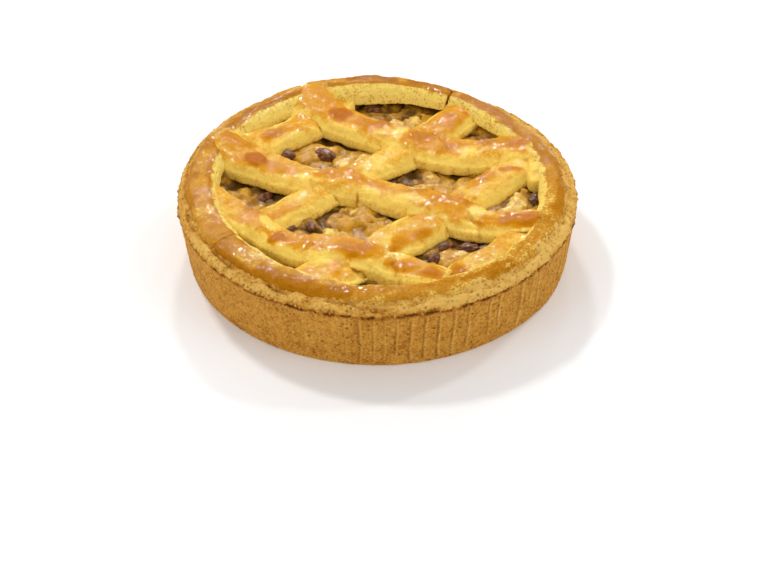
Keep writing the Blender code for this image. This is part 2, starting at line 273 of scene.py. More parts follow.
def from_edge(p, within, beyond):
    """Distance from each point within to the nearest point beyond the edge."""
    tree = KDTree(int(beyond.sum()))
    for k, spot in enumerate(p[beyond]):
        tree.insert(spot, k)
    tree.balance()
    far = np.zeros(len(p))
    far[within] = [tree.find(spot)[2] for spot in p[within]]
    return far


# ---------------------------------------------------------------- meshes

def new_object(name, mesh):
    piece = bpy.data.objects.new(name, mesh)
    bpy.context.scene.collection.objects.link(piece)
    return piece


def mesh_of(name, p, faces):
    mesh = bpy.data.meshes.new(name)
    mesh.from_pydata((p * MM).tolist(), [], faces)
    mesh.shade_smooth()
    return mesh


def points_of(mesh):
    p = np.empty(len(mesh.vertices) * 3, np.float32)
    mesh.vertices.foreach_get("co", p)
    return p.reshape(-1, 3).astype(float) / MM


def normals_of(mesh):
    n = np.empty(len(mesh.vertices) * 3, np.float32)
    mesh.vertices.foreach_get("normal", n)
    return n.reshape(-1, 3).astype(float)


def place_points(mesh, p):
    mesh.vertices.foreach_set("co", (p * MM).astype(np.float32).ravel())
    mesh.update()


def face_out(mesh):
    """Turns the faces of a closed mesh outwards."""
    shape = bmesh.new()
    shape.from_mesh(mesh)
    bmesh.ops.recalc_face_normals(shape, faces=shape.faces[:])
    shape.to_mesh(mesh)
    shape.free()


def note(mesh, name, values):
    """Keeps a number for every point, for the materials and the skin to read."""
    layer = mesh.attributes.get(name) or mesh.attributes.new(name, "FLOAT", "POINT")
    layer.data.foreach_set("value", np.asarray(values, np.float32))


def plain(piece, name):
    """Makes the piece's modifiers into its mesh."""
    bpy.context.view_layer.update()
    worked = piece.evaluated_get(bpy.context.evaluated_depsgraph_get())
    mesh = bpy.data.meshes.new_from_object(worked)
    mesh.name = name
    old = piece.data
    piece.modifiers.clear()
    piece.data = mesh
    bpy.data.meshes.remove(old)


def finish_piece(piece, slot, *nodes):
    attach(piece, "root")
    if nodes:
        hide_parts(*nodes)


# ---------------------------------------------------------------- node trees

class Tree:
    """Adds nodes to a tree and joins them up in one line each."""

    def __init__(self, tree):
        self.tree = tree
        self.column = 0

    def add(self, kind, inputs=(), output=0, **settings):
        node = self.tree.nodes.new(kind)
        self.column += 1
        node.location = (220 * (self.column % 12), -260 * (self.column // 12))
        for key, value in settings.items():
            setattr(node, key, value)
        for key, value in dict(inputs).items():
            socket = node.inputs[key]
            if isinstance(value, bpy.types.NodeSocket):
                self.tree.links.new(value, socket)
            else:
                socket.default_value = value
        return node.outputs[output]

    def math(self, operation, a, b=0.5, c=0.5, clamp=False):
        return self.add("ShaderNodeMath", {0: a, 1: b, 2: c}, operation=operation, use_clamp=clamp)

    def ramp(self, value, low, high, to_low=0.0, to_high=1.0):
        """Eases value from low..high to to_low..to_high."""
        return self.add("ShaderNodeMapRange", {"Value": value, 1: low, 2: high, 3: to_low, 4: to_high},
                        interpolation_type="SMOOTHSTEP")

    def mix(self, share, a, b):
        """A colour mixed from a to b."""
        return self.add("ShaderNodeMix", {0: share, 6: a, 7: b}, output=2, data_type="RGBA")

    def noise(self, where, size, detail=2.0, roughness=0.5):
        """Noise with lumps about one size across, in millimetres."""
        return self.add("ShaderNodeTexNoise", {"Vector": where, "Scale": 1 / (size * MM),
                                               "Detail": detail, "Roughness": roughness})

    def bump(self, strength, depth, height):
        """A relief whose height is depth millimetres at most."""
        return self.add("ShaderNodeBump", {"Strength": strength, "Distance": depth * MM, "Height": height})

    def join(self, *pairs):
        """Links each output to the input it is paired with."""
        for output, socket in pairs:
            self.tree.links.new(output, socket)


def group(name, kind, inputs, outputs):
    """A node group with its named sockets, and the sockets to read and to fill."""
    tree = bpy.data.node_groups.new(name, kind)
    for label, socket, value in inputs:
        item = tree.interface.new_socket(label, in_out="INPUT", socket_type="NodeSocket" + socket)
        if value is not None:
            item.default_value = value
    for label, socket in outputs:
        tree.interface.new_socket(label, in_out="OUTPUT", socket_type="NodeSocket" + socket)
    start, end = tree.nodes.new("NodeGroupInput"), tree.nodes.new("NodeGroupOutput")
    return tree, start.outputs, end.inputs


def shade(r, g, b):
    return (r, g, b, 1.0)


def new_material(name, values):
    """A material with these shader values, with its shader and its tree."""
    made = bpy.data.materials.new(name)
    made.use_nodes = True
    shader = made.node_tree.nodes["Principled BSDF"]
    for label, value in values.items():
        shader.inputs[label].default_value = value
    return made, shader.inputs, Tree(made.node_tree)


def baked_dough_group():
    """Colour, roughness, relief and glaze of baked dough, from how far each place is baked, with painted
    shade in its holes and hollows.
    """
    tree, given, put = group("Baked dough", "ShaderNodeTree", [
        ("Bake", "Float", 0.3), ("Hollow Shade", "Float", 0.0), ("Crumbly", "Float", 0.3),
        ("Glaze", "Float", 0.0), ("Pale", "Color", shade(0.8, 0.5, 0.13)),
        ("Gold", "Color", shade(0.78, 0.38, 0.05)), ("Brown", "Color", shade(0.6, 0.22, 0.02)),
        ("Burnt And Shade", "Color", shade(0.3, 0.07, 0.01)), ("Freckle", "Float", 0.5),
        ("Blotch", "Float", 0.5), ("Holes", "Float", 0.0)], [
        ("Color", "Color"), ("Roughness", "Float"), ("Height", "Float"), ("Coat", "Float")])
    t = Tree(tree)
    where = t.add("ShaderNodeTexCoord", output="Object")

    # How far each place is baked, with freckles and blotches, gives its colour.
    fine, coarse = t.noise(where, 1.5, 3.0, 0.65), t.noise(where, 6.0, 3.0, 0.55)
    freckled = t.math("MULTIPLY_ADD", given["Crumbly"], 0.5, given["Freckle"])
    freckle = t.math("MULTIPLY", t.math("SUBTRACT", fine, 0.5), freckled)
    wander = t.math("MULTIPLY_ADD", t.math("SUBTRACT", coarse, 0.5), given["Blotch"], freckle)
    bake = t.math("ADD", given["Bake"], wander)
    colour = t.mix(t.ramp(bake, 0.12, 0.45), given["Pale"], given["Gold"])
    colour = t.mix(t.ramp(bake, 0.43, 0.7), colour, given["Brown"])
    colour = t.mix(t.ramp(bake, 0.72, 1.0), colour, given["Burnt And Shade"])

    # Small holes, with painted shade inside.
    cell = tree.nodes.new("ShaderNodeTexVoronoi")
    cell.inputs["Scale"].default_value = 1 / (2.4 * MM)
    t.join((where, cell.inputs["Vector"]))
    lot = t.add("ShaderNodeSeparateColor", {0: cell.outputs["Color"]})
    reach = t.ramp(lot, 0.6, 1.0, 0.02, 0.48)
    hole = t.math("SUBTRACT", 1.0, t.math("DIVIDE", cell.outputs["Distance"], reach), clamp=True)
    hole = t.math("MULTIPLY", t.math("POWER", hole, 0.5), given["Holes"])
    # Painted shade: the holes, and the hollows noted on the points, are mixed toward the burnt colour.
    hollow = t.math("MAXIMUM", given["Hollow Shade"], hole)
    colour = t.mix(t.math("MULTIPLY", hollow, 0.75, clamp=True), colour, given["Burnt And Shade"])

    coarseness = t.math("MULTIPLY_ADD", given["Crumbly"], 2.2, 0.2)
    grain = t.math("MULTIPLY", t.noise(where, 1.0, 3.0, 0.7), coarseness)
    blister = t.math("MULTIPLY_ADD", t.noise(where, 2.6, 2.0), 1.2, grain)
    large, small = t.noise(where, 7.0, 2.0), t.noise(where, 2.4, 1.0)
    patches = t.math("MULTIPLY", t.ramp(large, 0.4, 0.46), t.ramp(small, 0.42, 0.48))
    t.join((colour, put["Color"]),
           (t.ramp(given["Crumbly"], 0, 1, 0.5, 0.85), put["Roughness"]),
           (t.math("SUBTRACT", blister, hole), put["Height"]),
           (t.math("MULTIPLY", given["Glaze"], patches, clamp=True), put["Coat"]))
    return tree


def dough_material(name, dough, colours, freckle, blotch, holes, relief):
    """A finish of baked dough, which reads the numbers kept on the piece's points."""
    made, shader, t = new_material(name, {
        "Specular IOR Level": 0.08, "Coat Roughness": 0.05, "Coat IOR": 1.5, "IOR": 1.45,
        "Subsurface Weight": 0.12, "Subsurface Radius": (1.0, 0.5, 0.2), "Subsurface Scale": 0.002})
    node = made.node_tree.nodes.new("ShaderNodeGroup")
    node.node_tree = dough
    kept = (("Bake", "bake"), ("Hollow Shade", "pit"), ("Crumbly", "crumbly"), ("Glaze", "glaze"))
    for socket, attribute in kept:
        value = t.add("ShaderNodeAttribute", output="Fac", attribute_name=attribute)
        t.join((value, node.inputs[socket]))
    for label, colour in zip(("Pale", "Gold", "Brown", "Burnt And Shade"), colours):
        node.inputs[label].default_value = shade(*colour)
    for label, value in (("Freckle", freckle), ("Blotch", blotch), ("Holes", holes)):
        node.inputs[label].default_value = value
    where = t.add("ShaderNodeTexCoord", output="Object")
    ripple = t.math("MULTIPLY_ADD", t.noise(where, 1.6, 0.0), 0.3, t.noise(where, 3.0, 0.0))
    t.join((node.outputs["Color"], shader["Base Color"]),
           (node.outputs["Roughness"], shader["Roughness"]),
           (node.outputs["Coat"], shader["Coat Weight"]),
           (t.bump(0.8, relief, node.outputs["Height"]), shader["Normal"]),
           (t.bump(1.0, 0.9, ripple), shader["Coat Normal"]))
    return made


def skin_tree():
    """Geometry nodes that roughen dough with lumps, grain and open pits, and keep the pits' places with the
    noted hollows, where shade is painted.
    """
    tree, given, put = group("Baked skin", "GeometryNodeTree", [
        ("Geometry", "Geometry", None), ("Lump Height", "Float", 0.3), ("Lump Size", "Float", 12.0),
        ("Grain Height", "Float", 0.1), ("Grain Size", "Float", 1.6), ("Pit Depth", "Float", 0.5),
        ("Pit Spacing", "Float", 3.0), ("Seed", "Float", 1.0), ("Material", "Material", None)], [
        ("Geometry", "Geometry")])
    t = Tree(tree)
    where, outward = t.add("GeometryNodeInputPosition"), t.add("GeometryNodeInputNormal")
    crumbly = t.add("GeometryNodeInputNamedAttribute", {"Name": "crumbly"}, data_type="FLOAT")

    def per_metre(size):
        return t.math("DIVIDE", 1 / MM, size)

    def uneven(size, detail):
        noise = t.add("ShaderNodeTexNoise", {"Vector": where, "W": given["Seed"],
                                             "Scale": per_metre(size), "Detail": detail},
                      noise_dimensions="4D")
        return t.math("MULTIPLY", t.math("SUBTRACT", noise, 0.5), 2.0)

    lumps = t.math("MULTIPLY", uneven(given["Lump Size"], 2.0), given["Lump Height"])
    grain = t.math("MULTIPLY", uneven(given["Grain Size"], 3.0), given["Grain Height"])
    grain = t.math("MULTIPLY", grain, crumbly)
    cell = tree.nodes.new("ShaderNodeTexVoronoi")
    cell.voronoi_dimensions = "4D"
    t.join((where, cell.inputs["Vector"]), (given["Seed"], cell.inputs["W"]),
           (per_metre(given["Pit Spacing"]), cell.inputs["Scale"]))
    lot = t.add("FunctionNodeSeparateColor", {0: cell.outputs["Color"]})
    reach = t.math("MAXIMUM", t.ramp(lot, 0.35, 1.0, 0.0, 0.42), 0.02)
    pit = t.math("SUBTRACT", 1.0, t.math("DIVIDE", cell.outputs["Distance"], reach), clamp=True)
    pit = t.math("MULTIPLY", t.math("POWER", pit, 0.6), crumbly)
    # The pits and the noted cracks and creases are kept as pit, for the material's painted shade.
    split = t.add("GeometryNodeInputNamedAttribute", {"Name": "hollow"}, data_type="FLOAT")
    rise = t.math("SUBTRACT", t.math("ADD", lumps, grain), t.math("MULTIPLY", pit, given["Pit Depth"]))
    offset = t.add("ShaderNodeVectorMath", {0: outward, "Scale": t.math("MULTIPLY", rise, MM)},
                   operation="SCALE")
    depth = t.math("ADD", pit, split, clamp=True)
    kept = t.add("GeometryNodeStoreNamedAttribute",
                 {"Geometry": given["Geometry"], "Name": "pit", "Value": depth},
                 data_type="FLOAT", domain="POINT")
    moved = t.add("GeometryNodeSetPosition", {"Geometry": kept, "Offset": offset})
    whole = t.add("GeometryNodeRealizeInstances", {"Geometry": moved})
    dressed = t.add("GeometryNodeSetMaterial", {"Geometry": whole, "Material": given["Material"]})
    t.join((dressed, put["Geometry"]))
    return tree


def scatter_tree():
    """Geometry nodes that strew copies of one small shape over the marked part of a surface."""
    tree, given, put = group("Strewn bits", "GeometryNodeTree", [
        ("Geometry", "Geometry", None), ("Bit", "Object", None), ("Density", "Float", 1000.0),
        ("Smallest", "Float", 0.5), ("Largest", "Float", 1.2), ("Sink", "Float", 0.2),
        ("Tilt", "Float", 3.1), ("Seed", "Int", 1), ("Material", "Material", None)], [
        ("Geometry", "Geometry")])
    t = Tree(tree)
    marked = t.add("GeometryNodeInputNamedAttribute", {"Name": "strewn"}, data_type="FLOAT")
    cast = tree.nodes.new("GeometryNodeDistributePointsOnFaces")
    cast.distribute_method = "RANDOM"
    t.join((given["Geometry"], cast.inputs["Mesh"]), (given["Seed"], cast.inputs["Seed"]),
           (t.math("MULTIPLY", marked, given["Density"]), cast.inputs["Density"]))
    sink = t.math("MULTIPLY", given["Sink"], -MM)
    drop = t.add("ShaderNodeVectorMath", {0: cast.outputs["Normal"], "Scale": sink}, operation="SCALE")
    lowered = t.add("GeometryNodeSetPosition", {"Geometry": cast.outputs["Points"], "Offset": drop})
    tilt = t.add("ShaderNodeCombineXYZ", {0: given["Tilt"], 1: given["Tilt"], 2: math.tau})
    turn = t.add("FunctionNodeRandomValue", {"Seed": given["Seed"], 1: tilt}, data_type="FLOAT_VECTOR")
    size = t.add("FunctionNodeRandomValue", {2: given["Smallest"], 3: given["Largest"],
                                             "Seed": t.math("ADD", given["Seed"], 5.0)},
                 output=1, data_type="FLOAT")
    bit = t.add("GeometryNodeObjectInfo", {"Object": given["Bit"]}, output="Geometry")
    copies = t.add("GeometryNodeInstanceOnPoints", {"Points": lowered, "Instance": bit,
                                                    "Rotation": turn, "Scale": size})
    lot = t.add("FunctionNodeRandomValue", {"Seed": t.math("ADD", given["Seed"], 9.0)},
                output=1, data_type="FLOAT")
    tinted = t.add("GeometryNodeStoreNamedAttribute", {"Geometry": copies, "Name": "lot", "Value": lot},
                   data_type="FLOAT", domain="INSTANCE")
    whole = t.add("GeometryNodeRealizeInstances", {"Geometry": tinted})
    dressed = t.add("GeometryNodeSetMaterial", {"Geometry": whole, "Material": given["Material"]})
    t.join((dressed, put["Geometry"]))
    return tree


def with_tree(piece, tree, values):
    """Puts a geometry tree on a piece and sets its named inputs."""
    modifier = piece.modifiers.new(tree.name, "NODES")
    modifier.node_group = tree
    for item in tree.interface.items_tree:
        if item.in_out == "INPUT" and item.name in values:
            modifier[item.identifier] = values[item.name]


# ---------------------------------------------------------------- shell

def shell_rows(azimuth):
    """The shell's section at every azimuth: rows of (radius, height), from the base in to the floor."""
    lip = around(LIP_TOP, azimuth)
    wall_top = np.minimum(WALL_TOP, lip - 2.2)
    flat = np.ones_like(azimuth)
    rows = [(40 * flat, 0 * flat), (90 * flat, 0 * flat),
            ((BASE_RADIUS - BASE_BEVEL) * flat, 0 * flat), ((BASE_RADIUS - 0.6) * flat, 0.4 * flat)]
    zones = ["base"] * 4
    for i in range(WALL_ROWS + 1):
        share = i / WALL_ROWS
        out = BASE_RADIUS + (PIE_RADIUS - BASE_RADIUS) * share * flat
        rows.append((out, 1.3 + (wall_top - 1.3) * share))
        zones.append("wall")
    inner_rise = around(LEDGE_RISE, azimuth)
    corners_r = [0.0, 0.5, 1.7, 3.6, 6.0, 8.0, 9.6, 11.0]
    corners_z = [wall_top, wall_top + 1.3, lip - 1.2, lip - 0.2, lip + 0.2 * inner_rise, lip + inner_rise,
                 lip + inner_rise + 0.4, SEAT_Z + 0 * lip]
    for i in range(1, LIP_ROWS + 1):
        at = i / LIP_ROWS * (len(corners_r) - 1)
        j = min(int(at), len(corners_r) - 2)
        share = at - j
        r = PIE_RADIUS - (corners_r[j] * (1 - share) + corners_r[j + 1] * share)
        rows.append((r * flat, corners_z[j] * (1 - share) + corners_z[j + 1] * share))
        zones.append("lip")
    rows += [(LIP_INNER - INNER_LEAN * flat, FLOOR_Z * flat), (40 * flat, FLOOR_Z * flat)]
    zones += ["inside"] * 2
    return rows, zones


def lathe_faces(rows, turns):
    """Faces over rings of points, with both ends closed by the two middle points that follow the rings."""
    faces = []
    for row in range(rows - 1):
        a, b = row * turns, (row + 1) * turns
        for i in range(turns):
            j = (i + 1) % turns
            faces.append((a + i, a + j, b + j, b + i))
    first, last, end = rows * turns, rows * turns + 1, (rows - 1) * turns
    for i in range(turns):
        j = (i + 1) % turns
        faces.append((first, j, i))
        faces.append((last, end + i, end + j))
    return faces


def shell_skin():
    """The shell as one turned skin, with its creases, torn ledge and browning."""
    azimuth = np.arange(SHELL_TURNS) * 360 / SHELL_TURNS
    rows, zones = shell_rows(azimuth)
    turn = np.radians(azimuth)
    r = np.array([row[0] for row in rows])
    z = np.array([row[1] for row in rows])
    wall = np.array([zone == "wall" for zone in zones])[:, None]
    lip = np.array([zone == "lip" for zone in zones])[:, None]
    p = np.stack([r * np.cos(turn), r * np.sin(turn), z], axis=-1)
    az = np.broadcast_to(azimuth, r.shape)
    ring = np.stack([turn * 60, 0 * turn, 0 * turn], -1)

    # Wall: slow dents, upright creases left by the tin's lining, and a chip at the foot.
    dents = 0.5 * mottle(p, 34, 3, 2) + 0.25 * mottle(p, 5, 2, 3)
    ribbed = around(CREASED, azimuth)
    along = (turn * PIE_RADIUS + 1.8 * mottle(ring, 9, 5, 2) + 0.6 * mottle(p, 15, 8, 2)) / RIB_SPACING
    rib = np.floor(along + 0.5)
    near = (along - rib) * RIB_SPACING
    none = np.zeros_like(r, np.int64)
    lots = [cell_number(np.stack([rib.astype(np.int64), none, none], -1), seed) for seed in (4, 5, 6)]
    above = z - 16 * lots[1] * eased(0.4, 0.6, lots[2])
    held = eased(0.15, 0.4, lots[0]) * eased(0, 5, above) * eased(-40, -35, -z)
    crease = np.exp(-(near / 0.6) ** 2) * ribbed * held
    ridge = np.exp(-((near - 1.1) / 0.6) ** 2) * ribbed * held
    chip = np.exp(-((az - 226) / 3.2) ** 2) * (1 - eased(1.5, 4.5, z + 0.8 * mottle(p, 3, 12)))
    in_wall = wall * (dents - 0.75 * crease + 0.3 * ridge - 1.6 * chip)
    # Lip: coarse and crumbly, split by a broken groove that wanders round it.
    crumbs = around(TORN, azimuth) * (0.5 * mottle(p, 3.0, 21, 3) + 0.9 * mottle(p, 9, 22, 2))
    groove_r = PIE_RADIUS - 4.2 + 1.6 * mottle(ring, 8, 24, 2)
    groove = np.exp(-((r - groove_r) / 0.9) ** 2) * around(SPLIT, azimuth)
    groove = groove * eased(-0.5, 0.3, mottle(p, 11, 25, 2))
    up = lip * (crumbs - 1.4 * groove)
    edge = np.exp(-((z - (WALL_TOP - 0.2)) / 1.6) ** 2) * (wall + lip) * (0.9 * mottle(p, 2.6, 31, 3) + 0.2)
    radius = r + in_wall + edge - lip * 0.3 * np.abs(crumbs)
    p = np.stack([radius * np.cos(turn), radius * np.sin(turn), np.maximum(z + up, 0)], axis=-1)

    # The wall is evenly baked, the ledge paler, and the rim's edge browned.
    bake = np.where(wall, 0.52 + 0.05 * mottle(p, 12, 41, 3) - 0.24 * ridge, 0.2) + 0 * r
    ledge = 0.29 + around(LEDGE_BAKE, azimuth) + 0.1 * mottle(p, 5, 42, 3) + 0.25 * groove - 0.06 * crumbs
    bake = np.where(lip, ledge, bake)
    rim_line = np.exp(-((z - (WALL_TOP - 0.4 + 0.9 * mottle(p, 6, 43, 2))) / 1.3) ** 2) * (wall + lip)
    bake = bake + rim_line * (0.4 + 0.3 * mottle(p, 4, 44, 2)) * around(RIM_BAKE, azimuth)
    # Painted shade goes into the wall's creases, the ledge's groove and the chip at the foot.
    hollow = 0.4 * wall * crease + 0.2 * lip * groove + 0.3 * wall * chip
    crumbly = np.where(wall, 0.75, np.where(lip, 1.0, 0.3)) + 0 * r

    flat = p.reshape(-1, 3)
    ends = np.array([[0, 0, 0], [0, 0, FLOOR_Z]])
    mesh = mesh_of("shell_crust", np.concatenate([flat, ends]), lathe_faces(len(rows), SHELL_TURNS))
    strewn = lip * around(STREWN, azimuth) + 0.5 * rim_line
    notes = {"bake": bake, "crumbly": crumbly, "hollow": hollow, "strewn": strewn, "glaze": 0 * r}
    for name, values in notes.items():
        middles = [0.2, 0.2]  # the middle points of base and floor
        note(mesh, name, np.append(np.broadcast_to(values, r.shape).ravel(), middles))
    return new_object("shell_crust", mesh)


# ---------------------------------------------------------------- strips and rolls

def dough_from(node, name, voxel):
    """An evenly meshed copy of a CAD node, to be worked into dough."""
    shape = bmesh.new()
    shape.from_mesh(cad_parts[node].data)
    bmesh.ops.remove_doubles(shape, verts=shape.verts[:], dist=1e-6)
    mesh = bpy.data.meshes.new(name)
    shape.to_mesh(mesh)
    shape.free()
    piece = new_object(name, mesh)
    remesh = piece.modifiers.new("even", "REMESH")
    remesh.mode = "VOXEL"
    remesh.voxel_size = voxel * MM
    soften = piece.modifiers.new("soften", "SMOOTH")
    soften.factor = 0.5
    soften.iterations = 3
    plain(piece, name)
    piece.data.shade_smooth()
    return piece


def browned(p, base):
    """How far each point of the lattice is baked: base, and more in the browned places."""
    bake = base + 0.08 * mottle(p, 22, 58, 2)
    wobble = 1 + 0.3 * mottle(p, 8, 60, 3)
    for x, y, long, wide, direction, amount in BROWN_PLACES:
        turn = math.radians(direction)
        u = (p[:, 0] - x) * math.cos(turn) + (p[:, 1] - y) * math.sin(turn)
        v = (p[:, 1] - y) * math.cos(turn) - (p[:, 0] - x) * math.sin(turn)
        away = np.hypot(u / (long * 1.25), v / (wide * 1.25)) * wobble
        share = 1 - (eased(0.62, 0.95, away) if amount > 0.9 else eased(0.3, 1.15, away))
        change = amount - bake
        bake = bake + share * (np.minimum(change, 0) if amount < 0.3 else np.maximum(change, 0))
    return bake


def streaked(p, base):
    """How far each point of the border is baked: base, and more along the browned streaks."""
    azimuth, radius = polar(p)
    bake = around(base, azimuth) + 0.09 * mottle(p, 16, 62, 3)
    wobble = 1 + 0.5 * mottle(p, 7, 63, 2)
    for start, stop, inner, outer, wide, amount in BROWN_STREAKS:
        along = np.mod(azimuth - start + 180, 360) - 180
        share = np.clip(along / (stop - start), 0, 1)
        middle = inner + (outer - inner) * share + 1.3 * mottle(p, 12, 64, 2)
        beyond = np.maximum(np.maximum(-along, along - (stop - start)), 0) * 1.8
        away = np.hypot(radius - middle, beyond) / (wide * 1.3) * wobble
        bake = bake + (1 - eased(0.3, 1.15, away)) * np.maximum(amount - bake, 0)
    return bake


def crack_up(p, side, seed):
    """Fine cracks where a cut face of dough has opened up."""
    bent = p * [1, 1, 1.4] + 0.9 * mottle(p, 2.5, seed, 2)[:, None]
    near, following, lot, _ = nearest_seeds(bent, 4.6, seed + 2)
    crack = (1 - eased(0.03, 0.16, following - near)) * eased(0.45, 0.8, lot)
    return crack * side * eased(-0.1, 0.4, mottle(p, 13, seed + 5, 1))


def note_dough(mesh, bake, crumbly, hollow, glaze):
    notes = {"bake": bake, "crumbly": crumbly, "hollow": np.clip(hollow, 0, 1), "glaze": glaze}
    for name, values in notes.items():
        note(mesh, name, values)


def swayed(p):
    """A small wandering in plan, shared by all the strips, that keeps their edges from being straight."""
    spot = p * [1, 1, 0.4]
    return np.stack([1.1 * mottle(spot, 15, 55, 2), 1.1 * mottle(spot, 15, 56, 2), 0 * p[:, 0]], axis=-1)


def draped(p):
    """How far each point of a strip's end is pushed out and up, where it is pressed over the border."""
    azimuth, radius = polar(p)
    out = np.zeros((len(p), 3))
    for middle, reach, way, lift in DRAPED_ENDS:
        share = np.exp(-((azimuth - middle) / reach) ** 4) * eased(80, 95, radius)
        out[:, :2] += (p[:, :2] / radius[:, None]) * (way * share)[:, None]
        out[:, 2] += lift * share * eased(41, 47, p[:, 2])
    return out


def work_strip(piece, seed, tops):
    """Presses a strip into its uneven, domed shape, and notes how it is baked, cracked and glazed, and
    where shade is painted in its cracks and creases.
    """
    mesh = piece.data
    p, n = points_of(mesh), normals_of(mesh)
    radius = np.hypot(p[:, 0], p[:, 1])
    outward = (n[:, 0] * p[:, 0] + n[:, 1] * p[:, 1]) / np.maximum(radius, 1)
    end = eased(0.3, 0.8, outward) * eased(88, 93, radius)
    upper = n[:, 2] > 0.55
    flank = ~upper & (n[:, 2] > -0.5) & (end < 0.5)
    inset = from_edge(p, upper, flank) + 0.9 * mottle(p, 5, seed, 2)
    front = from_edge(p, upper, flank & (n[:, 1] < -0.25)) + 1.6 * mottle(p, 9, seed + 4, 2)
    top = eased(0.0, 2.2, inset) * eased(0.5, 0.7, n[:, 2])
    side = (1 - eased(0.3, 0.65, n[:, 2])) * eased(-0.95, -0.5, n[:, 2])
    waves = 1.1 * mottle(p, 17, seed, 2) + 0.55 * mottle(p, 7, seed + 3, 2)
    rise = 0.3 + waves * top + 0.5 * mottle(p, 6, seed + 1, 2)
    crack = 0.6 * crack_up(p, side, seed + 2)
    rise += 2.2 * end - 0.7 * crack
    # Painted shade goes into the cracks, and below into the deeper creases.
    hollow = 0.7 * crack
    wander = 1.0 * mottle(p, 4, seed + 6, 1)[:, None]
    for ax, ay, bx, by, width, depth in CREASES:
        line = np.exp(-(from_line(p + wander, ax, ay, bx, by) / width) ** 2) * (n[:, 2] > 0)
        rise -= depth * line
        hollow += 0.35 * line * (depth > 1)
    pale = 0.14 + 0.06 * mottle(p, 8, seed + 8, 3)
    bake = pale + (browned(p, tops) - pale) * eased(0.4, 2.6, inset) * eased(1.0, 6.0, front) * top
    standing = eased(39.8, 43, p[:, 2])
    nearer = np.where(upper, 1 - eased(0.4, 8, front), eased(0, 0.4, -n[:, 1]) * standing)
    fall = np.where(upper, 1 - eased(0.4, 4.5, inset), standing)
    fall = (1.2 * fall + 0.8 * nearer) * (1 - end)
    bulge = (1 - eased(0.2, 0.95, n[:, 2])) * eased(-0.95, -0.3, n[:, 2]) * (1 - eased(41, 48, p[:, 2]))
    rise += 1.5 * bulge
    p = p + n * rise[:, None] + swayed(p) + draped(p)
    p[:, 2] -= STRIP_SINK * (1 - eased(40.6, 44.5, p[:, 2])) + fall - 0.6
    place_points(mesh, p)
    brushed = 0.6 + 0.4 * eased(-0.3, 0.4, mottle(p, 20, seed + 9, 2))
    glaze = top * brushed * (1 - 0.85 * eased(0.66, 0.84, bake))
    note_dough(mesh, bake, 0.12 + 0.85 * np.maximum(side, 0.6 * (1 - top)), hollow, glaze)


def work_roll(piece, seed):
    """Presses a length of border into shape: pale inside, browned on top, dry at the front right."""
    mesh = piece.data
    p, n = points_of(mesh), normals_of(mesh)
    azimuth, radius = polar(p)
    inward = -(n[:, 0] * p[:, 0] + n[:, 1] * p[:, 1]) / radius
    top = eased(0.35, 0.7, n[:, 2] + 0.1 * mottle(p, 5, seed, 2))
    inside = eased(0.3, 0.7, inward + 0.12 * mottle(p, 5, seed + 4, 2))
    dry = around(BORDER_DRY, azimuth)
    rise = 0.3 + 0.9 * mottle(p, 19, seed, 2) + 0.5 * mottle(p, 6, seed + 1, 3)
    crack = 0.3 * crack_up(p, inside, seed + 2)
    rise -= 0.7 * crack
    bake = streaked(p, BORDER_BAKE) * (1 - inside) + (0.13 + 0.07 * mottle(p, 8, seed + 8, 3)) * inside
    # The foot spreads inwards under the strips' ends, and outwards where the border lies widest.
    foot = eased(0.1, 0.7, inward) * np.clip((51 - p[:, 2]) / 12, 0, 1)
    spread = around(SPREAD_IN, azimuth) * foot
    spread -= around(SPREAD_OUT, azimuth) * eased(0.1, 0.8, -inward)
    # Lengths of border are pressed together where they meet, except at the two open seams.
    sideways = np.abs(n[:, 0] * p[:, 1] - n[:, 1] * p[:, 0]) / radius
    open_seam = np.minimum(*(np.abs(azimuth - seam) for seam in OPEN_SEAMS)) < 8
    rise += 1.6 * eased(0.5, 0.9, sideways) * ~open_seam
    p = p + n * rise[:, None]
    p[:, :2] -= p[:, :2] / radius[:, None] * spread[:, None]
    place_points(mesh, p)
    brushed = 0.45 + 0.5 * eased(-0.3, 0.4, mottle(p, 20, seed + 9, 2))
    glaze = top * (1 - eased(0.2, 0.6, dry)) * brushed
    crumbly = np.clip(dry * top + 0.8 * inside + 0.5 * (1 - top), 0, 1)
    # Painted shade goes into the cracks.
    note_dough(mesh, bake, crumbly, 0.7 * crack, glaze)


# ---------------------------------------------------------------- filling

def disc_grid(count):
    """A square grid of points bent to the unit disc, its outermost points on the rim."""
    a, b = np.meshgrid(np.linspace(-1, 1, count), np.linspace(-1, 1, count), indexing="ij")
    wide = np.abs(a) >= np.abs(b)
    with np.errstate(divide="ignore", invalid="ignore"):
        r = np.where(wide, a, b)
        turn = np.where(wide, math.pi / 4 * b / a, math.pi / 2 - math.pi / 4 * a / b)
    turn = np.nan_to_num(turn)
    return r * np.cos(turn), r * np.sin(turn)


